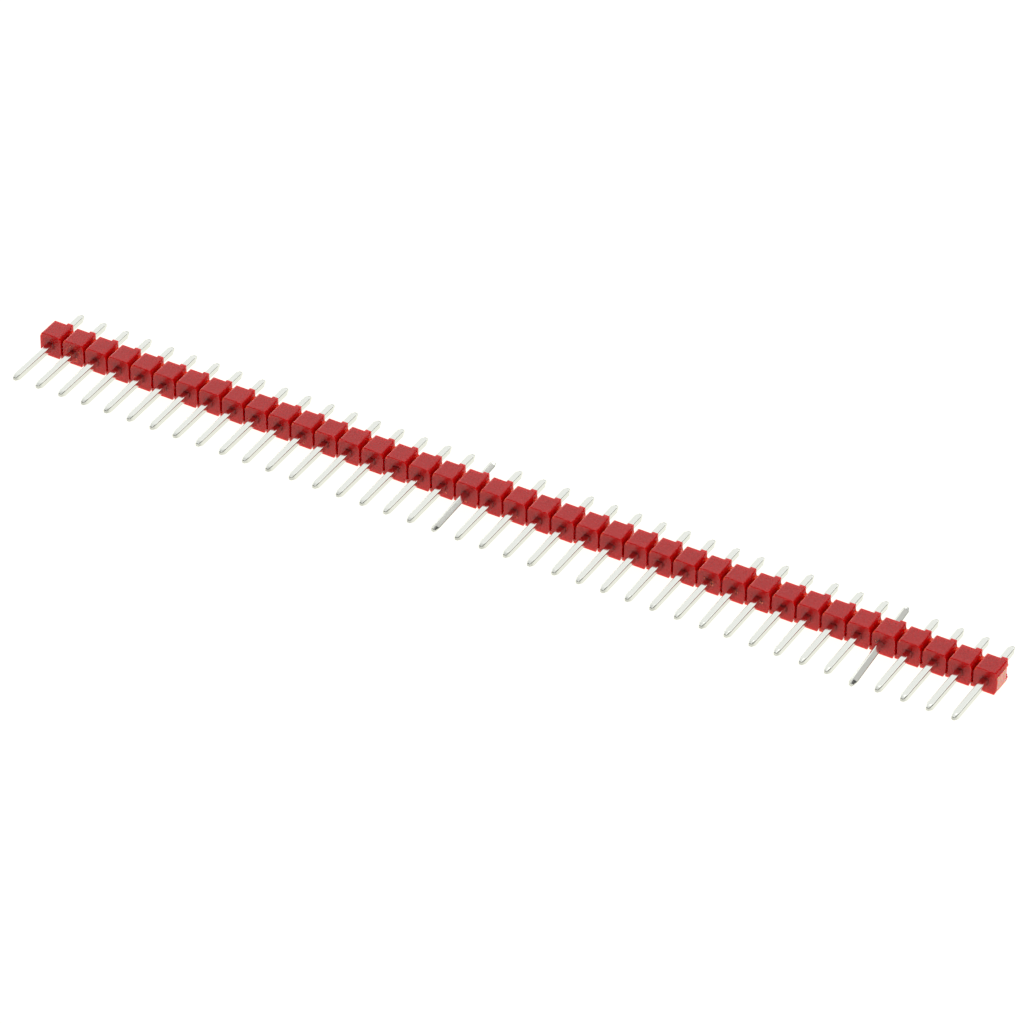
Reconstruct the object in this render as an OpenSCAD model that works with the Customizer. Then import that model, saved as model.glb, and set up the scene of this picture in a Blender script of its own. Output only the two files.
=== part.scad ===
// Single-row pin header strip: square pins pressed through a moulded break-away housing.
// The strip lies on its side. X runs along the row, the long mating posts point to -Y, the
// short solder tails to +Y, and Z is up. The origin is under pin 1, on the resting face.

/* [Row] */
// Number of positions in the row
positions = 40; // [2:1:59]
// Spacing of the pins along the row
pitch = 2.54; // [2.1:0.01:3.2]

/* [Housing] */
// Height of the housing as it lies, which is its width across the row
body_h = 2.5; // [2:0.05:3.2]
// Depth of the housing along the pins, without the standoff ribs
body_d = 2.25; // [1.8:0.05:3]
// Sideways width of the two top chamfers, from the break line
top_chamfer_w = 0.30; // [0.2:0.01:0.4]
// Height of the two top chamfers
top_chamfer_h = 0.47; // [0.3:0.01:0.6]
// Sideways width of the two bottom chamfers, from the break line
bottom_chamfer_w = 0.34; // [0.2:0.01:0.4]
// Height of the two bottom chamfers
bottom_chamfer_h = 0.62; // [0.3:0.01:0.7]

/* [Break lines] */
// Width of the slit between two cells
slit_w = 0.22; // [0.1:0.01:0.3]
// How far the web between two cells stays back from the front face
web_front_gap = 0.32; // [0.1:0.01:0.6]
// How far the web stays back from the back face at most break lines
web_back_gap = 0.06; // [0.02:0.01:0.6]
// How far it stays back where the slit is open at the back
open_back_gap = 0.5; // [0.1:0.01:0.8]
// Height of the webs' lower edge over the resting face
web_low = 0.10; // [0.05:0.01:0.3]
// First break line that is open at the back
open_first = 17; // [1:1:58]
// Last break line that is open at the back
open_last = 27; // [1:1:58]

/* [Standoff ribs] */
// How far each rib stands proud of the back face
standoff_t = 0.27; // [0.1:0.01:0.5]
// Width of the rib, which ends where the right top chamfer begins
standoff_w = 0.6; // [0.3:0.01:0.62]

/* [Pins] */
// Size of the square pin across its flats
pin_w = 0.64; // [0.5:0.01:0.78]
// Rounding of the pin's long edges
pin_edge_r = 0.1; // [0.03:0.01:0.15]
// Length of the mating post in front of the housing
post_l = 6.1; // [3:0.1:12]
// Length of the solder tail behind the standoff ribs
tail_l = 3.0; // [2:0.1:5]
// Length of the taper at both ends
tip_l = 0.5; // [0.2:0.05:0.8]
// Size of the square end of the taper
tip_w = 0.36; // [0.2:0.01:0.45]
// Gap between a pin and its hole, all round
hole_gap = 0.01; // [0.005:0.005:0.03]

/* [Pins knocked askew] */
// Position number of the first askew pin, or 0 for none
askew_a = 19; // [0:1:59]
// Its sideways shift at the middle of the housing
askew_a_shift = -0.19; // [-0.35:0.01:0.35]
// Its lean towards the far end of the row, in degrees
askew_a_lean = 2.1; // [-3:0.1:3]
// Its dip towards the resting face, in degrees
askew_a_dip = 0.0; // [-3:0.1:3]
// Position number of the second askew pin, or 0 for none
askew_b = 36; // [0:1:59]
// Its sideways shift at the middle of the housing
askew_b_shift = -0.32; // [-0.35:0.01:0.35]
// Its lean towards the far end of the row, in degrees
askew_b_lean = 2.5; // [-3:0.1:3]
// Its dip towards the resting face, in degrees
askew_b_dip = 3.0; // [-3:0.1:3]
// Twist of both askew pins about their own length, in degrees
askew_twist = 34; // [0:1:45]

/* [Snapped end] */
// How far the snapped web stands out of the last cell's side, on average
snap_l = 0.1; // [0.05:0.01:0.14]
// Depth of the ragged steps in the snapped face
snap_ragged = 0.03; // [0.01:0.005:0.04]
// Number of ragged steps from front to back
snap_steps = 6; // [3:1:10]

/* [Hidden] */
$fn = 48;
front_y = -body_d / 2;
back_y = body_d / 2;
seat_y = back_y + standoff_t;
post_end_y = front_y - post_l;
tail_end_y = seat_y + tail_l;
axis_z = body_h / 2;
cell_half = (pitch - slit_w) / 2;
web_high = body_h - top_chamfer_h;
web_grip = 0.05;
cut_over = 1;

function pin_x(k) = (k - 1) * pitch;
function break_x(k) = pin_x(k) + pitch / 2;
function pin_name(k) = str("pin_", k < 10 ? "0" : "", k);
function is_askew(k) = k == askew_a || k == askew_b;
function pin_shift(k) = k == askew_a ? askew_a_shift : k == askew_b ? askew_b_shift : 0;
function pin_lean(k) = k == askew_a ? askew_a_lean : k == askew_b ? askew_b_lean : 0;
function pin_dip(k) = k == askew_a ? askew_a_dip : k == askew_b ? askew_b_dip : 0;
function pin_twist(k) = is_askew(k) ? askew_twist : 0;
function back_gap(k) = k >= open_first && k <= open_last ? open_back_gap : web_back_gap;

// Puts a shape modelled along the Y axis where pin k runs.
module at_pin(k) {
    translate([pin_x(k) + pin_shift(k), 0, axis_z])
        rotate([pin_dip(k), 0, pin_lean(k)])
            rotate([0, pin_twist(k), 0])
                children();
}

// Extrudes a 2D shape, drawn in X and Z, from one Y to another.
module along_y(from_y, to_y) {
    translate([0, to_y, 0])
        rotate([90, 0, 0])
            linear_extrude(height = to_y - from_y)
                children();
}

// Square with rounded corners, centred on the origin.
module rounded_square(width, edge_r) {
    square([width, width - 2 * edge_r], center = true);
    square([width - 2 * edge_r, width], center = true);
    for (sx = [-1, 1]) {
        for (sz = [-1, 1]) {
            translate([sx * (width / 2 - edge_r), sz * (width / 2 - edge_r)])
                circle(r = edge_r);
        }
    }
}

// Outline that a pin shows from above and from the side, with a taper at both ends.
module pin_outline() {
    polygon([
        [-tip_w / 2, post_end_y],
        [tip_w / 2, post_end_y],
        [pin_w / 2, post_end_y + tip_l],
        [pin_w / 2, tail_end_y - tip_l],
        [tip_w / 2, tail_end_y],
        [-tip_w / 2, tail_end_y],
        [-pin_w / 2, tail_end_y - tip_l],
        [-pin_w / 2, post_end_y + tip_l]
    ]);
}

// Section of one cell, seen along the pins.
module cell_section() {
    polygon([
        [-cell_half, bottom_chamfer_h],
        [bottom_chamfer_w - pitch / 2, 0],
        [pitch / 2 - bottom_chamfer_w, 0],
        [cell_half, bottom_chamfer_h],
        [cell_half, body_h - top_chamfer_h],
        [pitch / 2 - top_chamfer_w, body_h],
        [top_chamfer_w - pitch / 2, body_h],
        [-cell_half, body_h - top_chamfer_h]
    ]);
}

// Block that holds one pin.
module cell_block() {
    along_y(front_y, back_y)
        cell_section();
}

// Rib on the back of a cell that holds the housing off a circuit board.
module standoff_rib() {
    along_y(back_y - web_grip, seat_y)
        intersection() {
            cell_section();
            translate([pitch / 2 - top_chamfer_w - standoff_w, 0])
                square([standoff_w, body_h]);
        }
}

// Thin web that joins cell k to the next one and hangs down into the groove under the break line.
module web(k) {
    translate([break_x(k) - slit_w / 2 - web_grip, front_y + web_front_gap, web_low])
        cube([slit_w + 2 * web_grip, body_d - web_front_gap - back_gap(k), web_high - web_low]);
}

// What is left of the web where the last cell was snapped off a longer strip.
module snapped_web() {
    snap_front = front_y + web_front_gap / 2;
    step = (body_d - web_front_gap / 2 - open_back_gap) / snap_steps;
    ragged = [
        for (i = [0:snap_steps])
            [cell_half + snap_l + (i % 2 == 0 ? 0 : -snap_ragged), snap_front + i * step]
    ];
    translate([pin_x(positions), 0, bottom_chamfer_h])
        linear_extrude(height = web_high - bottom_chamfer_h)
            polygon(concat(
                [[cell_half - web_grip, snap_front]],
                ragged,
                [[cell_half - web_grip, snap_front + snap_steps * step]]
            ));
}

// Square hole that pin k is pressed into.
module pin_hole(k) {
    at_pin(k)
        along_y(front_y - cut_over, seat_y + cut_over)
            rounded_square(pin_w + 2 * hole_gap, pin_edge_r + hole_gap);
}

module housing() {
    color([0.70, 0.19, 0.17])
        difference() {
            union() {
                for (k = [1:positions]) {
                    translate([pin_x(k), 0, 0]) {
                        cell_block();
                        standoff_rib();
                    }
                }
                for (k = [1:positions - 1]) {
                    web(k);
                }
                snapped_web();
            }
            for (k = [1:positions]) {
                pin_hole(k);
            }
        }
}

module pin(k) {
    color([0.87, 0.87, 0.84])
        at_pin(k)
            intersection() {
                along_y(post_end_y, tail_end_y)
                    rounded_square(pin_w, pin_edge_r);
                linear_extrude(height = 2 * pin_w, center = true)
                    pin_outline();
                rotate([0, 90, 0])
                    linear_extrude(height = 2 * pin_w, center = true)
                        pin_outline();
            }
}

housing();
for (k = [1:positions]) {
    pin(k);
}
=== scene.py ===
"""Pin header strip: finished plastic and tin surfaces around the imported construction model."""

import math
import random

import bmesh
import bpy
from mathutils import Matrix, Vector


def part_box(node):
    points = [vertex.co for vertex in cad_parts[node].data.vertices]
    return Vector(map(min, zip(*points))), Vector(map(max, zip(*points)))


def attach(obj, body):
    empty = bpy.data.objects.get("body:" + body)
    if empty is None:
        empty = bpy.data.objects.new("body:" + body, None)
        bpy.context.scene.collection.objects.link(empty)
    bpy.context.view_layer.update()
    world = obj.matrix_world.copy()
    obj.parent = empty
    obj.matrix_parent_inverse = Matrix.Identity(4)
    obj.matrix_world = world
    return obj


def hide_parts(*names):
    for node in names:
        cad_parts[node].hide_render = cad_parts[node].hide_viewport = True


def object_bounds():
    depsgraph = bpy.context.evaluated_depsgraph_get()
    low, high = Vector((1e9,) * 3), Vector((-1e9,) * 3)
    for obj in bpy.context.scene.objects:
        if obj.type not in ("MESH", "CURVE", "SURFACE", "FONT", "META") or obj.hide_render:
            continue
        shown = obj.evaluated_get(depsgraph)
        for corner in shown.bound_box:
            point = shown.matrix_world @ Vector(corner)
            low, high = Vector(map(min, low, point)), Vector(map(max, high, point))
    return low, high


bl_info = {
    "name": "Pin header strip",
    "version": (1, 0, 0),
    "blender": (4, 5, 0),
    "location": "3D View > Sidebar > Header",
    "description": "Builds a moulded housing, its plated pins and a small studio",
    "category": "Object",
}

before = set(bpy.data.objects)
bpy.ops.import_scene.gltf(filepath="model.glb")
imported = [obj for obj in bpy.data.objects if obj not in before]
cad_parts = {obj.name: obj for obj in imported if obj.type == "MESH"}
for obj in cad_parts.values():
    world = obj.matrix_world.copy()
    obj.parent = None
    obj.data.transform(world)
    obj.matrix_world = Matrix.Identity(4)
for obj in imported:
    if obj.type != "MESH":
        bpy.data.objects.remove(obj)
CAD_LOW, CAD_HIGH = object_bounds()

MM = 0.001
# Coordinates closer than this count as equal
CLOSE = 1e-9
BODY = "root"
PIN_NODES = sorted(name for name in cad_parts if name.startswith("pin_"))
COUNT = len(PIN_NODES)
HOUSING_LOW, HOUSING_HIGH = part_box("housing")


def middle(node):
    """Middle of a construction node's box."""
    low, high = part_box(node)
    return (low + high) / 2


FIRST_X = middle(PIN_NODES[0]).x
PITCH = (middle(PIN_NODES[-1]).x - FIRST_X) / (COUNT - 1)
BODY_H = HOUSING_HIGH.z - HOUSING_LOW.z
FRONT_Y = HOUSING_LOW.y
SEAT_Y = HOUSING_HIGH.y
AXIS_Z = middle(PIN_NODES[0]).z
PIN_LOW, PIN_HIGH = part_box(PIN_NODES[0])
PIN_W = PIN_HIGH.x - PIN_LOW.x

# Flakes beside the pin exits: pin number, then how far across and how high on the front face, in mm
BURRS = (
    (2, -0.25, 2.05),
    (2, 0.68, 1.72),
    (2, 0.42, 0.80),
    (5, -0.60, 1.25),
    (5, -0.05, 0.83),
    (10, -0.72, 1.10),
    (12, 0.20, 0.50),
    (18, 0.35, 0.70),
    (19, -0.05, 0.50),
    (21, 0.25, 0.83),
    (29, 0.41, 1.40),
    (29, 0.41, 1.05),
    (29, -0.42, 1.60),
    (30, 0.42, 1.25),
    (31, 0.42, 1.08),
    (31, -0.42, 0.95),
    (36, -0.75, 1.47),
)


def size(name, value_mm, description):
    """A length property, given in millimetres."""
    return bpy.props.FloatProperty(
        name=name, description=description, default=value_mm * MM, unit="LENGTH", precision=5
    )


def number(name, value, description, **more):
    """A plain number property."""
    return bpy.props.FloatProperty(name=name, description=description, default=value, **more)


def place_number(name, value, description):
    """A whole number that counts pins or break lines from the left."""
    return bpy.props.IntProperty(name=name, description=description, default=value)


def paint(name, value, description):
    """A colour property."""
    return bpy.props.FloatVectorProperty(
        name=name, description=description, default=value, size=3, min=0.0, max=1.0, subtype="COLOR"
    )


class HousingSettings(bpy.types.PropertyGroup):
    top_chamfer_w: size("Top chamfer width", 0.30, "From the break line to the top face")
    top_chamfer_h: size("Top chamfer height", 0.47, "Height of the two top chamfers")
    bottom_chamfer_w: size("Bottom chamfer width", 0.34, "From the break line to the bottom face")
    bottom_chamfer_h: size("Bottom chamfer height", 0.62, "Height of the two bottom chamfers")
    slit_w: size("Slit width", 0.22, "Width of the slit between two cells")
    web_front_gap: size("Web front gap", 0.32, "How far a web stays back from the front face")
    web_back_gap: size("Web back gap", 0.06, "How far a web stays back from the back face")
    open_back_gap: size("Open back gap", 0.5, "The same where the slit is open at the back")
    web_low: size("Web lower edge", 0.10, "Height of the webs' lower edge over the resting face")
    web_high: size("Web upper edge", 1.70, "Height of the webs' upper edge, in front of their back end")
    foot_gap: size("Web foot gap", 0.10, "How far a web's foot stays back from the front face")
    foot_high: size("Web foot height", 0.52, "Height of the foot's upper edge")
    open_first: place_number("First open break line", 17, "First break line open at the back")
    open_last: place_number("Last open break line", 27, "Last break line open at the back")
    rib_t: size("Rib thickness", 0.27, "How far a standoff rib stands proud of the back face")
    rib_w: size("Rib width", 0.6, "Flat top of a standoff rib")
    front_round: size("Front rounding", 0.09, "Rounding of the front face's upper and lower edge")
    side_round: size("Side edge rounding", 0.04, "Rounding of the edges beside the break lines")
    top_round: size("Top edge rounding", 0.17, "Rounding of the top face's edges along the pins")
    back_round: size("Back rounding", 0.04, "Rounding of the edges round the back face")
    hole_gap: size("Hole gap", 0.01, "Gap between a pin and its hole")
    hole_edge: size("Hole corner", 0.11, "Rounding of a pin hole's corners")
    burr_size: size("Burr size", 0.17, "Size of the flakes scraped up at some pin exits")
    snap_cut: size("Snapped hollow", 0.28, "Depth of the hollow torn into the last cell's side")
    colour: paint("Plastic", (0.540, 0.0015, 0.0022), "Main colour of the moulded plastic")
    shade_colour: paint("Darker plastic", (0.510, 0.0012, 0.002), "Where the plastic is denser")
    # Painted glow colour, for where light would come through thin plastic; also the colour of the scuffed
    # ring and the scraped flakes
    glow_and_scrape_colour: paint("Thin plastic", (0.95, 0.075, 0.02), "Where light comes through the plastic")
    # Painted shade round each pin, where the pin would shut light out of the plastic and shadow the face
    pin_shade_colour: paint("Shaded plastic", (0.20, 0.001, 0.001), "Where a pin keeps the light out")
    shade_reach: size("Shade reach", 0.5, "How far round a pin the plastic looks darker")
    shade_strength: number("Shade strength", 0.35, "How dark it gets right beside a pin")
    scuffed_pin: place_number("Scuffed exit", 2, "Pin with a ring scuffed into the face round its exit")
    scuff_radius: size("Scuff radius", 0.82, "Radius of that ring")
    stress_colour: paint("Stressed plastic", (0.85, 0.46, 0.38), "Where the plastic was torn")


class PinSettings(bpy.types.PropertyGroup):
    edge_round: size("Edge rounding", 0.1, "Rounding of a pin's long edges")
    tip_l: size("Tip length", 0.5, "Length of the taper at both ends")
    tip_w: size("Tip width", 0.36, "Width of the flat at the very end")
    tip_round: size("Tip rounding", 0.07, "Rounding of the end of the taper")
    colour: paint("Tin", (0.72, 0.73, 0.69), "Colour of the bright tin plate")
    worn_colour: paint("Worn tin", (0.50, 0.51, 0.48), "Colour of the sheared tips")


class StudioSettings(bpy.types.PropertyGroup):
    azimuth: number("Azimuth", math.radians(30.56), "Where the camera stands", subtype="ANGLE")
    elevation: number("Elevation", math.radians(37.41), "How high it stands", subtype="ANGLE")
    distance: number("Distance", 0.6089, "From the camera to what it looks at", unit="LENGTH")
    lens: number("Lens", 233.9, "Focal length in millimetres, on a 36 mm sensor")
    aim_along: size("Aim along the row", 0.36, "From the middle of the row to the aim point")
    aim_height: size("Aim height", 0.20, "Height of the aim point over the floor")
    floor_colour: paint("Floor", (0.12, 0.12, 0.12), "Colour of the floor")
    floor_glow_colour: paint("Floor glow", (1.0, 0.995, 0.915), "Colour of the floor's own light")
    floor_glow: number("Floor glow strength", 1.04, "Strength of the floor's own light")
    sky_glow: number("Surrounding light", 0.12, "Strength of the even light from all sides")


# ---- small helpers ----


def add_object(name, mesh):
    """A new object in the scene."""
    made = bpy.data.objects.new(name, mesh)
    bpy.context.scene.collection.objects.link(made)
    return made


def mesh_from(bm, name):
    """A mesh from a bmesh, with its faces pointing outwards."""
    bmesh.ops.recalc_face_normals(bm, faces=bm.faces)
    mesh = bpy.data.meshes.new(name)
    bm.to_mesh(mesh)
    bm.free()
    return mesh


def evaluated_mesh(obj, name):
    """The mesh that an object's modifiers make."""
    view = bpy.context.evaluated_depsgraph_get()
    mesh = bpy.data.meshes.new_from_object(obj.evaluated_get(view), depsgraph=view)
    mesh.name = name
    return mesh


def rings_to_solid(bm, rings):
    """Skins closed rings of equal length and caps both ends."""
    made = [[bm.verts.new(p) for p in ring] for ring in rings]
    count = len(made[0])
    for a, b in zip(made, made[1:]):
        for i in range(count):
            j = (i + 1) % count
            bm.faces.new((a[i], a[j], b[j], b[i]))
    bm.faces.new(made[0])
    bm.faces.new(list(reversed(made[-1])))


def prism(name, outline, from_y, to_y, front_round=0.0, side_round=0.0, back_round=0.0, top_round=0.0):
    """An outline in X and Z, run along Y, with its edges rounded by their own amounts."""
    bm = bmesh.new()
    rings_to_solid(bm, [[(x, y, z) for x, z in outline] for y in (from_y, to_y)])
    widest = max(front_round, side_round, back_round, top_round)
    top = max(z for _, z in outline)
    weights = bm.edges.layers.float.new("bevel_weight_edge")
    for edge in bm.edges:
        ys = [v.co.y for v in edge.verts]
        if abs(ys[0] - ys[1]) > CLOSE:
            at_top = top_round and edge.verts[0].co.z > top - CLOSE
            along = top_round if at_top else side_round
            edge[weights] = along / widest if widest else 0.0
        elif ys[0] < (from_y + to_y) / 2:
            level = abs(edge.verts[0].co.z - edge.verts[1].co.z) < CLOSE
            edge[weights] = (front_round if level else side_round) / widest if widest else 0.0
        else:
            edge[weights] = back_round / widest if widest else 0.0
    made = add_object(name, mesh_from(bm, name))
    if widest:
        bevel = made.modifiers.new("Rounding", "BEVEL")
        bevel.limit_method = "WEIGHT"
        bevel.width = widest
        bevel.segments = 4
        rounded = evaluated_mesh(made, name + "_rounded")
        made.modifiers.clear()
        made.data = rounded
    return made


def rounded_square(width, edge_round, steps=4):
    """Outline of a square with rounded corners, centred on the origin."""
    points = []
    reach = width / 2 - edge_round
    for corner, (sx, sz) in enumerate(((1, 1), (-1, 1), (-1, -1), (1, -1))):
        for i in range(steps + 1):
            angle = (corner + i / steps) * math.pi / 2
            x = sx * reach + edge_round * math.cos(angle)
            z = sz * reach + edge_round * math.sin(angle)
            points.append((x, z))
    return points


def cell_outline(s):
    """Section of one cell, with its pin's axis at X = 0."""
    half = (PITCH - s.slit_w) / 2
    foot = PITCH / 2 - s.bottom_chamfer_w
    top = PITCH / 2 - s.top_chamfer_w
    return [
        (-half, s.bottom_chamfer_h),
        (-foot, 0.0),
        (foot, 0.0),
        (half, s.bottom_chamfer_h),
        (half, BODY_H - s.top_chamfer_h),
        (top, BODY_H),
        (-top, BODY_H),
        (-half, BODY_H - s.top_chamfer_h),
    ]


def rib_outline(s):
    """Section of one standoff rib, which ends where the right top chamfer begins."""
    right = PITCH / 2 - s.top_chamfer_w
    left = right - s.rib_w
    foot = PITCH / 2 - s.bottom_chamfer_w
    slope = (foot - (PITCH - s.slit_w) / 2) / s.bottom_chamfer_h
    return [(left, 0.0), (foot, 0.0), (right, (foot - right) / slope), (right, BODY_H), (left, BODY_H)]


def web_outline(s, overlap, high):
    """Section of the web at a break line, which hangs down into the groove under it."""
    left = PITCH / 2 - s.slit_w / 2 - overlap
    right = PITCH / 2 + s.slit_w / 2 + overlap
    return [(left, s.web_low), (right, s.web_low), (right, high), (left, high)]


def pin_pose(node):
    """Where a pin's axis runs and how the pin is turned, read from its construction node."""
    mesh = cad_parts[node].data
    places = [v.co.copy() for v in mesh.vertices]
    low = min(p.y for p in places)
    high = max(p.y for p in places)
    reach = 0.1 * MM
    post = [p for p in places if p.y < low + reach]
    tail = [p for p in places if p.y > high - reach]
    post_end = sum(post, Vector()) / len(post)
    tail_end = sum(tail, Vector()) / len(tail)
    axis = (tail_end - post_end).normalized()
    lean = math.atan2(-axis.x, axis.y)
    dip = math.asin(axis.z)
    upright = (Matrix.Rotation(lean, 3, "Z") @ Matrix.Rotation(dip, 3, "X")).inverted()
    # The four long sides are alike, so four times their angle is the same for all of them
    turn = Vector((0.0, 0.0))
    for face in mesh.polygons:
        normal = upright @ face.normal
        is_long_side = abs(normal.y) < 0.1
        if is_long_side:
            angle = 4 * math.atan2(normal.x, normal.z)
            turn += face.area * Vector((math.cos(angle), math.sin(angle)))
    twist = math.atan2(turn.y, turn.x) / 4
    rotation = upright.inverted() @ Matrix.Rotation(twist, 3, "Y")
    share = (0 - post_end.y) / (tail_end.y - post_end.y)
    return post_end.lerp(tail_end, share), rotation.to_euler("XYZ")


def point_layout(name, places, turns):
    """Loose points, each with the turn that an instance there takes."""
    mesh = bpy.data.meshes.new(name)
    mesh.from_pydata([tuple(p) for p in places], [], [])
    turn = mesh.attributes.new("turn", "FLOAT_VECTOR", "POINT")
    for slot, value in zip(turn.data, turns):
        slot.vector = tuple(value)
    return add_object(name, mesh)


def pin_layout(name):
    """One point for each pin, where its axis crosses the middle of the housing."""
    poses = [pin_pose(node) for node in PIN_NODES]
    return point_layout(name, [place for place, _ in poses], [turn for _, turn in poses])


# ---- geometry nodes ----


def new_tree(name, inputs):
    """An empty modifier tree with these inputs beside the geometry, and its two end nodes."""
    tree = bpy.data.node_groups.new(name, "GeometryNodeTree")
    tree.is_modifier = True
    tree.interface.new_socket(name="Geometry", in_out="INPUT", socket_type="NodeSocketGeometry")
    for label, kind in inputs:
        tree.interface.new_socket(name=label, in_out="INPUT", socket_type="NodeSocket" + kind)
    tree.interface.new_socket(name="Geometry", in_out="OUTPUT", socket_type="NodeSocketGeometry")
    return tree, tree.nodes.new("NodeGroupInput"), tree.nodes.new("NodeGroupOutput")


def add_node(tree, kind, **inputs):
    """Adds a node, and links or sets its inputs by name."""
    made = tree.nodes.new(kind)
    for label, value in inputs.items():
        socket = made.inputs[label.replace("_", " ")]
        if isinstance(value, bpy.types.NodeSocket):
            tree.links.new(value, socket)
        else:
            socket.default_value = value
    return made


def instances(tree, points, shape, selection=None, turn=None):
    """Real copies of an object's mesh at points."""
    info = add_node(tree, "GeometryNodeObjectInfo", Object=shape)
    put = add_node(
        tree, "GeometryNodeInstanceOnPoints", Points=points, Instance=info.outputs["Geometry"]
    )
    if selection is not None:
        tree.links.new(selection, put.inputs["Selection"])
    if turn is not None:
        tree.links.new(turn, put.inputs["Rotation"])
    real = add_node(tree, "GeometryNodeRealizeInstances", Geometry=put.outputs["Instances"])
    return real.outputs["Geometry"]


def stored_turn(tree):
    """The turn that a point layout carries, as a rotation."""
    read = tree.nodes.new("GeometryNodeInputNamedAttribute")
    read.data_type = "FLOAT_VECTOR"
    read.inputs["Name"].default_value = "turn"
    euler = add_node(tree, "FunctionNodeEulerToRotation", Euler=read.outputs["Attribute"])
    return euler.outputs["Rotation"]


def whole_number(tree, operation, first, second):
    """An integer maths node on a socket and a plain number."""
    made = tree.nodes.new("FunctionNodeIntegerMath")
    made.operation = operation
    tree.links.new(first, made.inputs[0])
    made.inputs[1].default_value = second
    return made.outputs[0]


def boolean(tree, operation, first, others):
    """The first solid joined with the others, or with the others cut out of it."""
    made = tree.nodes.new("GeometryNodeMeshBoolean")
    made.operation = operation
    made.solver = "MANIFOLD"
    if operation == "DIFFERENCE":
        tree.links.new(first, made.inputs["Mesh 1"])
    else:
        tree.links.new(first, made.inputs["Mesh 2"])
    for other in others:
        tree.links.new(other, made.inputs["Mesh 2"])
    return made.outputs["Mesh"]


def finish_surface(tree, geometry, material, result):
    """Gives the tree's result: one real mesh, shaded smooth, with its material."""
    smooth = add_node(tree, "GeometryNodeSetShadeSmooth", Geometry=geometry)
    real = add_node(tree, "GeometryNodeRealizeInstances", Geometry=smooth.outputs["Geometry"])
    coated = add_node(
        tree, "GeometryNodeSetMaterial", Geometry=real.outputs["Geometry"], Material=material
    )
    tree.links.new(coated.outputs["Geometry"], result.inputs["Geometry"])


def set_inputs(modifier, tree, values):
    """Sets a modifier's inputs by the identifiers of the tree's sockets."""
    for item in tree.interface.items_tree:
        if item.in_out == "INPUT" and item.name in values:
            modifier[item.identifier] = values[item.name]


def row_tree():
    """Cells, ribs and webs along the row, joined into one solid, with every hole cut."""
    tree, given, result = new_tree(
        "Moulded row",
        [
            ("Cell", "Object"),
            ("Rib", "Object"),
            ("Web", "Object"),
            ("Web end", "Object"),
            ("Web foot", "Object"),
            ("Snapped web", "Object"),
            ("Pin hole", "Object"),
            ("Torn hollow", "Object"),
            ("Count", "Int"),
            ("First X", "Float"),
            ("Pitch", "Float"),
            ("First open", "Int"),
            ("Last open", "Int"),
            ("Material", "Material"),
        ],
    )
    inp = given.outputs
    step = add_node(tree, "ShaderNodeCombineXYZ", X=inp["Pitch"]).outputs["Vector"]
    start = add_node(tree, "ShaderNodeCombineXYZ", X=inp["First X"]).outputs["Vector"]
    cells = add_node(
        tree, "GeometryNodeMeshLine", Count=inp["Count"], Start_Location=start, Offset=step
    ).outputs["Mesh"]
    fewer = whole_number(tree, "SUBTRACT", inp["Count"], 1)
    breaks = add_node(
        tree, "GeometryNodeMeshLine", Count=fewer, Start_Location=start, Offset=step
    ).outputs["Mesh"]
    index = tree.nodes.new("GeometryNodeInputIndex").outputs["Index"]
    break_number = whole_number(tree, "ADD", index, 1)
    tests = []
    for label, operation in (("First open", "GREATER_EQUAL"), ("Last open", "LESS_EQUAL")):
        test = tree.nodes.new("FunctionNodeCompare")
        test.data_type = "INT"
        test.operation = operation
        first, second = [socket for socket in test.inputs if socket.type == "INT"][:2]
        tree.links.new(break_number, first)
        tree.links.new(inp[label], second)
        tests.append(test.outputs["Result"])
    is_open = tree.nodes.new("FunctionNodeBooleanMath")
    is_open.operation = "AND"
    tree.links.new(tests[0], is_open.inputs[0])
    tree.links.new(tests[1], is_open.inputs[1])
    is_shut = tree.nodes.new("FunctionNodeBooleanMath")
    is_shut.operation = "NOT"
    tree.links.new(is_open.outputs[0], is_shut.inputs[0])
    snapped = add_node(tree, "GeometryNodeObjectInfo", Object=inp["Snapped web"])
    solid = boolean(
        tree,
        "UNION",
        instances(tree, cells, inp["Cell"]),
        [
            instances(tree, cells, inp["Rib"]),
            instances(tree, breaks, inp["Web"]),
            instances(tree, breaks, inp["Web foot"]),
            instances(tree, breaks, inp["Web end"], selection=is_shut.outputs[0]),
            snapped.outputs["Geometry"],
        ],
    )
    hollow = add_node(tree, "GeometryNodeObjectInfo", Object=inp["Torn hollow"])
    holes = instances(tree, inp["Geometry"], inp["Pin hole"], turn=stored_turn(tree))
    drilled = boolean(tree, "DIFFERENCE", solid, [holes])
    torn = boolean(tree, "DIFFERENCE", drilled, [hollow.outputs["Geometry"]])
    finish_surface(tree, torn, inp["Material"], result)
    return tree


def copies_tree(name):
    """One shape at every point of a layout, turned as the layout says."""
    tree, given, result = new_tree(name, [("Shape", "Object"), ("Material", "Material")])
    inp = given.outputs
    made = instances(tree, inp["Geometry"], inp["Shape"], turn=stored_turn(tree))
    finish_surface(tree, made, inp["Material"], result)
    return tree


def grow(name, layout, tree, values, sharp_degrees):
    """Evaluates a tree on a layout into one plain mesh with clean shading."""
    modifier = layout.modifiers.new("Nodes", "NODES")
    modifier.node_group = tree
    set_inputs(modifier, tree, values)
    made = add_object(name, evaluated_mesh(layout, name))
    made.data.set_sharp_from_angle(angle=math.radians(sharp_degrees))
    weighted = made.modifiers.new("Weighted normals", "WEIGHTED_NORMAL")
    weighted.keep_sharp = True
    made.data = evaluated_mesh(made, name)
    made.modifiers.clear()
    return made


def discard(*objects):
    """Removes helper objects that the finished pieces no longer need."""
    for obj in objects:
        mesh = obj.data
        bpy.data.objects.remove(obj)
        if mesh.users == 0:
            bpy.data.meshes.remove(mesh)


# ---- materials ----


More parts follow.
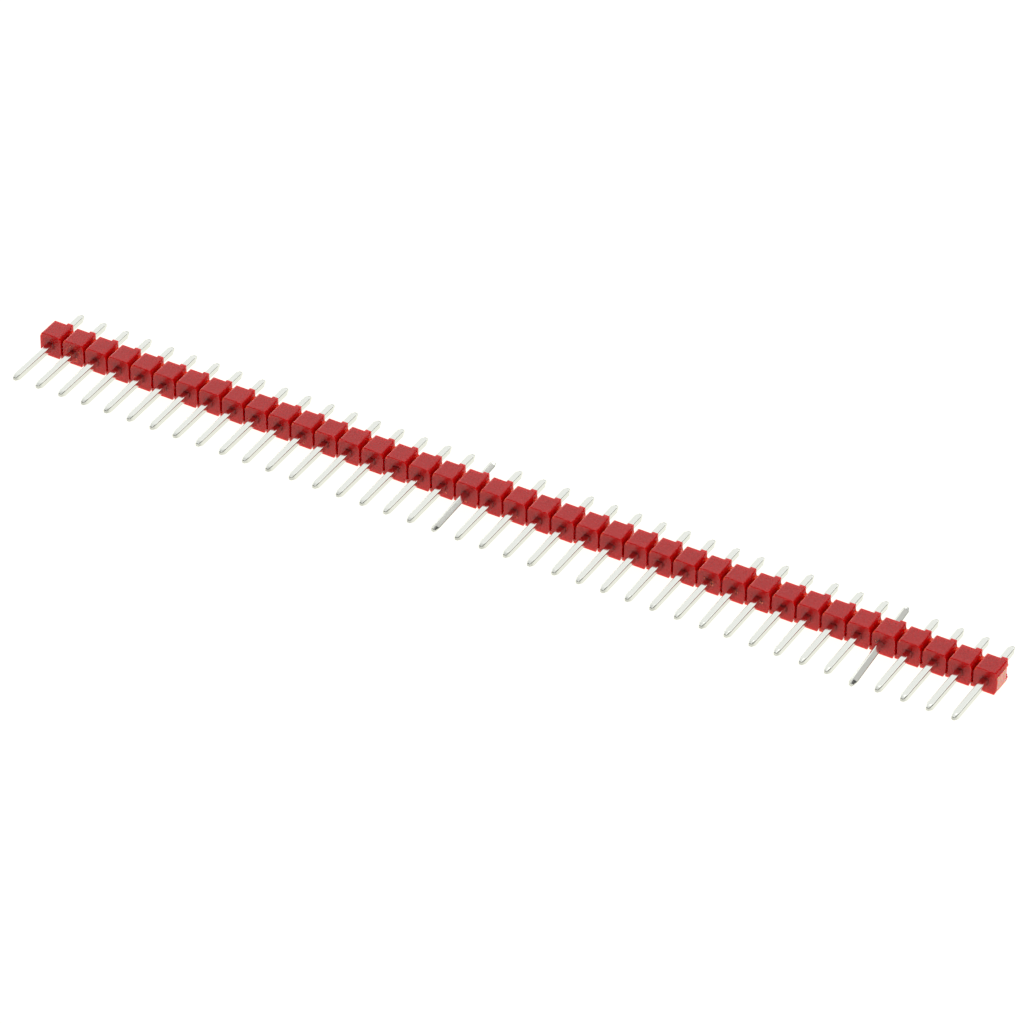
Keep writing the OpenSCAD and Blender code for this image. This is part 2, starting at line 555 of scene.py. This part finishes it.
def new_material(name):
    """A material with one shader, and the place of each point in the shared frame."""
    material = bpy.data.materials.new(name)
    material.use_nodes = True
    tree = material.node_tree
    tree.nodes.clear()
    output = tree.nodes.new("ShaderNodeOutputMaterial")
    shader = tree.nodes.new("ShaderNodeBsdfPrincipled")
    tree.links.new(shader.outputs["BSDF"], output.inputs["Surface"])
    coords = tree.nodes.new("ShaderNodeTexCoord")
    return material, tree, shader, coords.outputs["Object"]


def noise(tree, where, feature, detail, stretch=(1, 1, 1)):
    """Noise whose features are about that many metres across."""
    mapping = tree.nodes.new("ShaderNodeMapping")
    mapping.inputs["Scale"].default_value = stretch
    tree.links.new(where, mapping.inputs["Vector"])
    made = tree.nodes.new("ShaderNodeTexNoise")
    made.inputs["Scale"].default_value = 1 / feature
    made.inputs["Detail"].default_value = detail
    tree.links.new(mapping.outputs["Vector"], made.inputs["Vector"])
    return made.outputs["Fac"]


def ramp(tree, factor, low, high, at_low=0.0, at_high=1.0):
    """Turns a factor between low and high smoothly into a value."""
    made = tree.nodes.new("ShaderNodeMapRange")
    made.interpolation_type = "SMOOTHSTEP"
    made.inputs["From Min"].default_value = low
    made.inputs["From Max"].default_value = high
    made.inputs["To Min"].default_value = at_low
    made.inputs["To Max"].default_value = at_high
    tree.links.new(factor, made.inputs["Value"])
    return made.outputs["Result"]


def patches(tree, where, feature, between, values=(0.0, 1.0), detail=2.0, stretch=(1, 1, 1)):
    """Soft-edged patches: noise that goes from one value to the other between two of its levels."""
    return ramp(tree, noise(tree, where, feature, detail, stretch), *between, *values)


def combine(tree, operation, *values):
    """A maths node on sockets or plain numbers."""
    made = tree.nodes.new("ShaderNodeMath")
    made.operation = operation
    for socket, value in zip(made.inputs, values):
        if isinstance(value, bpy.types.NodeSocket):
            tree.links.new(value, socket)
        else:
            socket.default_value = value
    return made.outputs["Value"]


def blend_colour(tree, factor, a, b):
    """Colour a where the factor is 0 and colour b where it is 1."""
    made = tree.nodes.new("ShaderNodeMix")
    made.data_type = "RGBA"
    tree.links.new(factor, made.inputs["Factor"])
    for label, value in (("A", a), ("B", b)):
        socket = [i for i in made.inputs if i.name == label and i.type == "RGBA"][0]
        if isinstance(value, bpy.types.NodeSocket):
            tree.links.new(value, socket)
        else:
            socket.default_value = (*value, 1.0)
    return [o for o in made.outputs if o.type == "RGBA"][0]


def bump(tree, shader, height, distance, strength, after=None):
    """Bends the shader's normal by a height, on top of an earlier bump if there is one."""
    made = tree.nodes.new("ShaderNodeBump")
    made.inputs["Strength"].default_value = strength
    made.inputs["Distance"].default_value = distance
    tree.links.new(height, made.inputs["Height"])
    if after is not None:
        tree.links.new(after, made.inputs["Normal"])
    tree.links.new(made.outputs["Normal"], shader.inputs["Normal"])
    return made.outputs["Normal"]


class CellPlaces:
    """Where a shading point lies in its own cell: sockets measured from the frame's fixed places."""

    def __init__(self, tree, where):
        axes = tree.nodes.new("ShaderNodeSeparateXYZ")
        tree.links.new(where, axes.inputs["Vector"])
        self.where = where
        self.x = axes.outputs["X"]
        self.y = axes.outputs["Y"]
        self.along = combine(tree, "SUBTRACT", self.x, FIRST_X)
        self.beside = combine(tree, "WRAP", self.along, PITCH / 2, -PITCH / 2)
        self.height = combine(tree, "SUBTRACT", axes.outputs["Z"], CAD_LOW.z)
        above = combine(tree, "SUBTRACT", axes.outputs["Z"], AXIS_Z)
        across_square = combine(tree, "MULTIPLY", self.beside, self.beside)
        above_square = combine(tree, "MULTIPLY", above, above)
        self.from_pin = combine(tree, "SQRT", combine(tree, "ADD", across_square, above_square))


def painted_glow(tree, s, cell):
    """Painted glow mask: how strongly light coming through is painted into the colour, along the left top
    edge, the lower edges, the webs and their back ends.
    """
    edge_x = PITCH / 2 - s.top_chamfer_w
    wall_x = PITCH / 2 - s.slit_w / 2
    back_y = SEAT_Y - s.rib_t
    top_edge_w, top_edge_share = 0.13 * MM, 0.4
    low_edge_h, low_edge_glow = 0.20 * MM, 0.75
    wall_fade, wall_full = 0.07 * MM, 0.01 * MM
    back_fade, back_full = 1.1 * MM, 0.2 * MM
    foot_fade, foot_full, foot_glow = 0.8 * MM, 0.2 * MM, 0.35
    chamfer_low, chamfer_lit = BODY_H - s.top_chamfer_h, BODY_H - top_edge_share * s.top_chamfer_h
    on_top = ramp(tree, cell.height, chamfer_low, chamfer_lit)
    left_edge = ramp(tree, cell.beside, top_edge_w - edge_x, -edge_x)
    left_edge = combine(tree, "MULTIPLY", left_edge, on_top)
    low_edge = ramp(tree, cell.height, low_edge_h, 0.0, 0.0, low_edge_glow)
    off_centre = combine(tree, "ABSOLUTE", cell.beside)
    near_break = ramp(tree, off_centre, wall_x - wall_fade, wall_x - wall_full)
    near_back = ramp(tree, cell.y, back_y - back_fade, back_y - back_full)
    back_end = combine(tree, "MULTIPLY", near_back, near_break)
    near_foot = ramp(tree, cell.height, foot_fade, foot_full, 0.0, foot_glow)
    web_foot = combine(tree, "MULTIPLY", near_foot, near_break)
    glow = combine(tree, "MAXIMUM", left_edge, low_edge)
    glow = combine(tree, "MAXIMUM", glow, web_foot)
    return combine(tree, "MAXIMUM", glow, back_end)


def exit_scuff(tree, s, cell):
    """The patchy ring scuffed into the front face round one pin's exit."""
    in_cell = combine(tree, "COMPARE", cell.along, (s.scuffed_pin - 1) * PITCH, PITCH / 2)
    from_ring = combine(tree, "ABSOLUTE", combine(tree, "SUBTRACT", cell.from_pin, s.scuff_radius))
    ring_core, ring_rim, ring_strength = 0.02 * MM, 0.10 * MM, 0.55
    skin, skin_fade = 0.02 * MM, 0.05 * MM
    ring = ramp(tree, from_ring, ring_core, ring_rim, ring_strength, 0.0)
    on_front = ramp(tree, cell.y, FRONT_Y + skin, FRONT_Y + skin_fade, 1.0, 0.0)
    patchy = patches(tree, cell.where, 0.3 * MM, between=(0.40, 0.60))
    scuff = combine(tree, "MULTIPLY", combine(tree, "MULTIPLY", ring, in_cell), on_front)
    return combine(tree, "MULTIPLY", scuff, patchy)


def torn_side(tree, s, cell):
    """One on the torn face at the far end, and nothing elsewhere."""
    side = FIRST_X + (COUNT - 1) * PITCH + (PITCH - s.slit_w) / 2
    return ramp(tree, cell.x, side + 0.01 * MM, side + 0.04 * MM)


def plastic_colour(tree, s, cell, painted_pin_shade, torn):
    """Cloudy red with specks, painted shade round the pins, painted glow where light would come through
    thin plastic, and pale where torn.
    """
    # thin holds the painted glow colour, which the scuffed ring also takes; stressed holds the torn colour
    thin, stressed = tuple(s.glow_and_scrape_colour), tuple(s.stress_colour)
    cloudy = patches(tree, cell.where, 1.6 * MM, between=(0.35, 0.65))
    base = blend_colour(tree, cloudy, tuple(s.colour), tuple(s.shade_colour))
    speck = patches(tree, cell.where, 0.11 * MM, between=(0.78, 0.81), detail=1.0)
    speck_strength = 0.5
    base = blend_colour(tree, combine(tree, "MULTIPLY", speck, speck_strength), base, stressed)
    # Painted shade round each pin
    base = blend_colour(tree, painted_pin_shade, base, tuple(s.pin_shade_colour))
    # Painted glow along the left top edges, the lower edges and the webs
    base = blend_colour(tree, painted_glow(tree, s, cell), base, thin)
    # The scuffed ring round one exit is a real mark in the same colour
    base = blend_colour(tree, exit_scuff(tree, s, cell), base, thin)
    streak = patches(
        tree,
        cell.where,
        0.12 * MM,
        between=(0.3, 0.7),
        values=(0.55, 1.0),
        detail=3.0,
        stretch=(1, 1, 0.25),
    )
    return blend_colour(tree, combine(tree, "MULTIPLY", torn, streak), base, stressed)


def plastic_shine(tree, cell, painted_pin_shade, torn):
    """Uneven gloss, softer round the pins and dull where torn."""
    duller_by_pin, torn_roughness = 0.5, 0.75
    shine = patches(tree, cell.where, 0.5 * MM, between=(0.3, 0.7), values=(0.22, 0.30))
    shine = combine(tree, "ADD", shine, combine(tree, "MULTIPLY", painted_pin_shade, duller_by_pin))
    return combine(tree, "MAXIMUM", shine, combine(tree, "MULTIPLY", torn, torn_roughness))


def plastic_material(s):
    """Glossy red moulding compound that lets a little light through."""
    material, tree, shader, where = new_material("red_moulded_plastic")
    cell = CellPlaces(tree, where)
    pin_side = PIN_W / 2
    # Painted shade: strongest at a pin's side, gone at the shade reach
    painted_pin_shade = ramp(tree, cell.from_pin, pin_side, pin_side + s.shade_reach, s.shade_strength, 0.0)
    torn = torn_side(tree, s, cell)
    tree.links.new(plastic_colour(tree, s, cell, painted_pin_shade, torn), shader.inputs["Base Color"])
    tree.links.new(plastic_shine(tree, cell, painted_pin_shade, torn), shader.inputs["Roughness"])
    grain, ripple = noise(tree, where, 0.15 * MM, 1.0), noise(tree, where, 0.8 * MM, 1.0)
    grained = bump(tree, shader, grain, 0.0004 * MM, 0.4)
    bump(tree, shader, ripple, 0.012 * MM, 0.5, after=grained)
    shader.inputs["IOR"].default_value = 1.5
    shader.inputs["Specular IOR Level"].default_value = 0.42
    shader.inputs["Subsurface Weight"].default_value = 1.0
    shader.inputs["Subsurface Radius"].default_value = (1.0, 0.14, 0.06)
    shader.inputs["Subsurface Scale"].default_value = 1.2 * MM
    return material


def flake_material(s):
    """The same plastic in the painted glow colour of light coming through thin plastic, whitened where it
    was scraped up.
    """
    material, tree, shader, where = new_material("scraped_red_plastic")
    patchy = patches(tree, where, 0.08 * MM, between=(0.4, 0.6), values=(0.0, 0.25))
    tree.links.new(
        blend_colour(tree, patchy, tuple(s.glow_and_scrape_colour), tuple(s.stress_colour)),
        shader.inputs["Base Color"],
    )
    shader.inputs["Roughness"].default_value = 0.45
    shader.inputs["Subsurface Weight"].default_value = 0.6
    shader.inputs["Subsurface Radius"].default_value = (1.0, 0.3, 0.2)
    shader.inputs["Subsurface Scale"].default_value = 0.3 * MM
    return material


def tin_material(s):
    """Bright tin over drawn wire, duller on the sheared tips."""
    material, tree, shader, where = new_material("bright_tin_plate")
    place = tree.nodes.new("ShaderNodeSeparateXYZ")
    tree.links.new(where, place.inputs["Vector"])
    along = place.outputs["Y"]
    post_tip = ramp(tree, along, PIN_LOW.y + 0.15 * MM, PIN_LOW.y + 0.45 * MM, 1.0, 0.0)
    tail_tip = ramp(tree, along, PIN_HIGH.y - 0.35 * MM, PIN_HIGH.y - 0.1 * MM, 0.0, 1.0)
    blotch = patches(tree, where, 0.35 * MM, between=(0.35, 0.65), values=(0.4, 1.0), detail=3.0)
    worn = combine(tree, "MULTIPLY", combine(tree, "MAXIMUM", post_tip, tail_tip), blotch)
    base = blend_colour(tree, worn, tuple(s.colour), tuple(s.worn_colour))
    tree.links.new(base, shader.inputs["Base Color"])
    drawn = noise(tree, where, 0.05 * MM, 2.0, stretch=(1, 0.04, 1))
    shine = ramp(tree, drawn, 0.3, 0.7, 0.09, 0.15)
    duller_by_tip = 0.12
    shine = combine(tree, "ADD", shine, combine(tree, "MULTIPLY", worn, duller_by_tip))
    tree.links.new(shine, shader.inputs["Roughness"])
    first = bump(tree, shader, drawn, 0.002 * MM, 0.4)
    bump(tree, shader, noise(tree, where, 0.25 * MM, 2.0), 0.003 * MM, 0.4, after=first)
    shader.inputs["Metallic"].default_value = 1.0
    return material


def floor_material(s):
    """Pale floor with a soft light of its own, like the top of a light table."""
    material, _, shader, _ = new_material("pale_floor")
    shader.inputs["Base Color"].default_value = (*s.floor_colour, 1.0)
    shader.inputs["Roughness"].default_value = 0.9
    shader.inputs["Specular IOR Level"].default_value = 0.0
    shader.inputs["Emission Color"].default_value = (*s.floor_glow_colour, 1.0)
    shader.inputs["Emission Strength"].default_value = s.floor_glow
    return material


# ---- pieces ----


def snapped_web(s):
    """Torn remains of the web at the far end, with a ragged outer face."""
    rng = random.Random(5)
    rows, columns = 26, 30
    sunk = 0.05 * MM
    least_depth, ragged_depth, rim_depth = 0.012 * MM, 0.022 * MM, 0.05 * MM
    front = FRONT_Y + sunk
    back = -FRONT_Y - s.open_back_gap
    low = s.bottom_chamfer_h - sunk
    high = BODY_H - s.top_chamfer_h + 0.02 * MM
    inner = FIRST_X + (COUNT - 1) * PITCH + (PITCH - s.slit_w) / 2 - sunk
    outer = HOUSING_HIGH.x
    phases = [rng.uniform(0, 6.28) for _ in range(6)]
    bm = bmesh.new()
    grid = []
    for i in range(rows):
        line = []
        for j in range(columns):
            y = front + (back - front) * j / (columns - 1)
            z = low + (high - low) * i / (rows - 1)
            wave = 0.35 * math.sin(j * 1.9 + phases[0] + 0.8 * math.sin(i * 0.4 + phases[1]))
            wave += 0.25 * math.sin(j * 3.1 + i * 0.35 + phases[2])
            wave += 0.4 * rng.random()
            from_rim = min(1.0, j / 3, (columns - 1 - j) / 2)
            x = outer - least_depth - ragged_depth * abs(wave) - rim_depth * (1 - from_rim)
            line.append(bm.verts.new((x, y, z)))
        grid.append(line)
    inner_grid = [[bm.verts.new((inner, v.co.y, v.co.z)) for v in line] for line in grid]
    for i in range(rows - 1):
        for j in range(columns - 1):
            bm.faces.new((grid[i][j], grid[i][j + 1], grid[i + 1][j + 1], grid[i + 1][j]))
            bm.faces.new(
                (inner_grid[i][j], inner_grid[i + 1][j], inner_grid[i + 1][j + 1], inner_grid[i][j + 1])
            )
    for j in range(columns - 1):
        for i in (0, rows - 1):
            bm.faces.new((grid[i][j], inner_grid[i][j], inner_grid[i][j + 1], grid[i][j + 1]))
    for i in range(rows - 1):
        for j in (0, columns - 1):
            bm.faces.new((grid[i][j], grid[i + 1][j], inner_grid[i + 1][j], inner_grid[i][j]))
    return add_object("snapped_web", mesh_from(bm, "snapped_web"))


def torn_hollow(s):
    """Cutter for the hollow that was torn into the last cell's side, behind the snapped web."""
    wall = FIRST_X + (COUNT - 1) * PITCH + (PITCH - s.slit_w) / 2
    back = -FRONT_Y
    low = s.bottom_chamfer_h + 0.10 * MM
    high = BODY_H - s.top_chamfer_h - 0.06 * MM
    beyond_side, beyond_back = wall + 0.3 * MM, SEAT_Y + 0.5 * MM
    deepest = wall - s.snap_cut
    plan = [
        (beyond_side, back - s.open_back_gap),
        (wall - 0.02 * MM, back - s.open_back_gap),
        (wall - 0.16 * MM, back - 0.36 * MM),
        (deepest, back - 0.1 * MM),
        (deepest, beyond_back),
        (beyond_side, beyond_back),
    ]
    bm = bmesh.new()
    rings_to_solid(bm, [[(x, y, z) for x, y in plan] for z in (low, high)])
    return add_object("torn_hollow", mesh_from(bm, "torn_hollow"))


def burr_shape(radius):
    """Small flat flake with an uneven rim."""
    rng = random.Random(11)
    bm = bmesh.new()
    bmesh.ops.create_icosphere(bm, subdivisions=3, radius=radius)
    swelling, jitter, thin, wide = 0.25, 0.04, 0.4, 1.3
    for vert in bm.verts:
        swell = 1 + swelling * math.sin(5 * vert.co.x / radius + 2) * math.cos(4 * vert.co.z / radius)
        vert.co *= swell + rng.uniform(-jitter, jitter)
        vert.co.y *= thin
        vert.co.x *= wide
    return add_object("burr", mesh_from(bm, "burr"))


def pin_shape(s):
    """One pin along Y, with rounded long edges and rounded, tapered ends."""
    half_tip = s.tip_w / 2
    sides = []
    round_steps = 4
    for i in range(round_steps + 1):
        angle = math.pi / 2 * i / round_steps
        sides.append((s.tip_round * (1 - math.cos(angle)), half_tip - s.tip_round * (1 - math.sin(angle))))
    slope = (PIN_W / 2 - half_tip) / (s.tip_l - s.tip_round)
    shoulder = 0.06 * MM
    drop = slope * shoulder
    softened = 0.3
    sides.append((s.tip_l - shoulder, PIN_W / 2 - drop))
    sides.append((s.tip_l, PIN_W / 2 - drop * softened))
    sides.append((s.tip_l + shoulder, PIN_W / 2))
    stations = [(PIN_LOW.y + d, w) for d, w in sides]
    stations += [(PIN_HIGH.y - d, w) for d, w in reversed(sides)]
    rings = []
    most_rounded = 0.45
    for y, half in stations:
        edge = min(s.edge_round, half * most_rounded)
        rings.append([(x, y, z) for x, z in rounded_square(2 * half, edge)])
    bm = bmesh.new()
    rings_to_solid(bm, rings)
    return add_object("pin_shape", mesh_from(bm, "pin_shape"))


class HEADER_OT_housing(bpy.types.Operator):
    """Build the moulded housing, with its break lines, standoff ribs and torn end"""

    bl_idname = "header.housing"
    bl_label = "Housing"

    def execute(self, context):
        s = context.scene.header_housing
        reach = 1 * MM
        overlap = 0.05 * MM
        rib_back = SEAT_Y - s.rib_t
        cell = prism(
            "cell",
            cell_outline(s),
            FRONT_Y,
            rib_back,
            s.front_round,
            s.side_round,
            s.back_round,
            s.top_round,
        )
        rib = prism(
            "rib", rib_outline(s), rib_back - overlap, SEAT_Y, 0.0, s.back_round, s.back_round
        )
        web_front, web_back = FRONT_Y + s.web_front_gap, rib_back - s.open_back_gap
        low_web = web_outline(s, overlap, s.web_high)
        full_web = web_outline(s, overlap, BODY_H - s.top_chamfer_h)
        web = prism("web", low_web, web_front, web_back)
        web_end = prism("web_end", full_web, web_back - overlap, rib_back - s.web_back_gap)
        foot_outline = web_outline(s, overlap, s.foot_high)
        web_foot = prism("web_foot", foot_outline, FRONT_Y + s.foot_gap, web_front + overlap)
        hole_w = PIN_W + 2 * s.hole_gap
        hole = prism(
            "pin_hole", rounded_square(hole_w, s.hole_edge), FRONT_Y - reach, SEAT_Y + reach
        )
        torn = snapped_web(s)
        hollow = torn_hollow(s)
        layout = pin_layout("hole_layout")
        housing = grow(
            "housing_shell",
            layout,
            row_tree(),
            {
                "Cell": cell,
                "Rib": rib,
                "Web": web,
                "Web end": web_end,
                "Web foot": web_foot,
                "Snapped web": torn,
                "Pin hole": hole,
                "Torn hollow": hollow,
                "Count": COUNT,
                "First X": FIRST_X,
                "Pitch": PITCH,
                "First open": s.open_first,
                "Last open": s.open_last,
                "Material": plastic_material(s),
            },
            sharp_degrees=36,
        )
        discard(cell, rib, web, web_end, web_foot, hole, torn, hollow, layout)
        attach(housing, BODY)
        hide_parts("housing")
        return {"FINISHED"}


class HEADER_OT_burrs(bpy.types.Operator):
    """Build the flakes that some pins scraped up when they were pressed in"""

    bl_idname = "header.burrs"
    bl_label = "Burrs"

    def execute(self, context):
        s = context.scene.header_housing
        shape = burr_shape(s.burr_size / 2)
        rng = random.Random(3)
        places, turns = [], []
        for pin, across, height in BURRS:
            x = FIRST_X + (pin - 1) * PITCH + across * MM
            places.append((x, FRONT_Y, CAD_LOW.z + height * MM))
            turns.append((0.0, rng.uniform(0.0, 6.28), rng.uniform(-0.2, 0.2)))
        layout = point_layout("burr_layout", places, turns)
        values = {"Shape": shape, "Material": flake_material(s)}
        burrs = grow("exit_burrs", layout, copies_tree("Row of burrs"), values, sharp_degrees=60)
        discard(shape, layout)
        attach(burrs, BODY)
        return {"FINISHED"}


class HEADER_OT_pins(bpy.types.Operator):
    """Build the plated pins, each where its construction node runs"""

    bl_idname = "header.pins"
    bl_label = "Pins"

    def execute(self, context):
        s = context.scene.header_pins
        shape = pin_shape(s)
        layout = pin_layout("pin_layout")
        pins = grow(
            "plated_pins",
            layout,
            copies_tree("Row of pins"),
            {"Shape": shape, "Material": tin_material(s)},
            sharp_degrees=50,
        )
        discard(shape, layout)
        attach(pins, BODY)
        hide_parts(*PIN_NODES)
        return {"FINISHED"}


WARM = (1.0, 0.99, 0.97)
COOL = (0.98, 0.99, 1.0)
PALE_GREEN = (0.99, 1.0, 0.99)
# Name, direction from the row, distance, width, height, brightness and colour of each light
SOFTBOXES = (
    ("key_softbox", (-0.43, 0.66, 0.61), 0.6, 1.2, 0.9, 1.02, PALE_GREEN),
    ("fill_softbox", (0.42, 0.58, 0.70), 0.8, 0.5, 0.5, 0.62, WARM),
    ("rim_softbox", (-0.85, 0.46, 0.26), 0.5, 0.3, 0.24, 1.1, COOL),
    ("top_softbox", (0.10, -0.05, 0.99), 0.6, 0.55, 0.55, 0.95, WARM),
    ("back_softbox", (0.25, 0.94, 0.21), 0.5, 0.3, 0.16, 0.6, COOL),
    ("side_softbox", (0.80, -0.45, 0.40), 0.7, 0.5, 0.5, 1.9, WARM),
)


def softbox(name, direction, distance, width, height, brightness, colour):
    """An area light that faces the middle of the row, as bright as a white card at brightness 1."""
    light = bpy.data.lights.new(name, "AREA")
    light.shape = "RECTANGLE"
    light.size = width
    light.size_y = height
    light.energy = brightness * math.pi * width * height
    light.color = colour
    made = bpy.data.objects.new(name, light)
    bpy.context.scene.collection.objects.link(made)
    back = Vector(direction).normalized()
    made.location = (CAD_LOW + CAD_HIGH) / 2 + back * distance
    made.rotation_mode = "QUATERNION"
    made.rotation_quaternion = back.to_track_quat("Z", "Y")
    return made


class HEADER_OT_studio(bpy.types.Operator):
    """Set up the pale floor, the soft lights and the camera"""

    bl_idname = "header.studio"
    bl_label = "Studio"

    def execute(self, context):
        s = context.scene.header_studio
        scene = context.scene
        bm = bmesh.new()
        bmesh.ops.create_grid(bm, x_segments=1, y_segments=1, size=2.0)
        floor = add_object("floor", mesh_from(bm, "floor"))
        just_under = CAD_LOW.z - 0.02 * MM
        floor.data.transform(Matrix.Translation((CAD_HIGH.x / 2, 0, just_under)))
        floor.data.materials.append(floor_material(s))
        for softbox_facts in SOFTBOXES:
            softbox(*softbox_facts)
        world = bpy.data.worlds.new("soft_studio")
        world.use_nodes = True
        sky = world.node_tree.nodes["Background"]
        sky.inputs["Color"].default_value = (1.0, 1.0, 1.0, 1.0)
        sky.inputs["Strength"].default_value = s.sky_glow
        scene.world = world
        scene.view_settings.view_transform = "Standard"
        camera = bpy.data.objects.new("camera", bpy.data.cameras.new("camera"))
        scene.collection.objects.link(camera)
        camera.data.lens = s.lens
        camera.data.clip_end = 10
        back = Vector(
            (
                math.sin(s.azimuth) * math.cos(s.elevation),
                -math.cos(s.azimuth) * math.cos(s.elevation),
                math.sin(s.elevation),
            )
        )
        row_middle = FIRST_X + (COUNT - 1) * PITCH / 2
        aim = Vector((row_middle + s.aim_along, 0.0, s.aim_height))
        camera.location = aim + back * s.distance
        camera.rotation_mode = "QUATERNION"
        camera.rotation_quaternion = back.to_track_quat("Z", "Y")
        scene.camera = camera
        return {"FINISHED"}


class HEADER_PT_panel(bpy.types.Panel):
    """Lists the steps that build the header"""

    bl_idname = "HEADER_PT_panel"
    bl_label = "Pin header"
    bl_space_type = "VIEW_3D"
    bl_region_type = "UI"
    bl_category = "Header"

    def draw(self, context):
        for operator in (HEADER_OT_housing, HEADER_OT_burrs, HEADER_OT_pins, HEADER_OT_studio):
            self.layout.operator(operator.bl_idname)
        for name in ("header_housing", "header_pins", "header_studio"):
            settings = getattr(context.scene, name)
            box = self.layout.box()
            for key in settings.bl_rna.properties.keys():
                if key not in ("rna_type", "name"):
                    box.prop(settings, key)


CLASSES = (
    HousingSettings,
    PinSettings,
    StudioSettings,
    HEADER_OT_housing,
    HEADER_OT_burrs,
    HEADER_OT_pins,
    HEADER_OT_studio,
    HEADER_PT_panel,
)


def register():
    for cls in CLASSES:
        bpy.utils.register_class(cls)
    bpy.types.Scene.header_housing = bpy.props.PointerProperty(type=HousingSettings)
    bpy.types.Scene.header_pins = bpy.props.PointerProperty(type=PinSettings)
    bpy.types.Scene.header_studio = bpy.props.PointerProperty(type=StudioSettings)


def unregister():
    del bpy.types.Scene.header_studio
    del bpy.types.Scene.header_pins
    del bpy.types.Scene.header_housing
    for cls in reversed(CLASSES):
        bpy.utils.unregister_class(cls)


def main():
    register()
    bpy.ops.header.housing()
    bpy.ops.header.burrs()
    bpy.ops.header.pins()
    bpy.ops.header.studio()


if __name__ == "__main__":
    main()
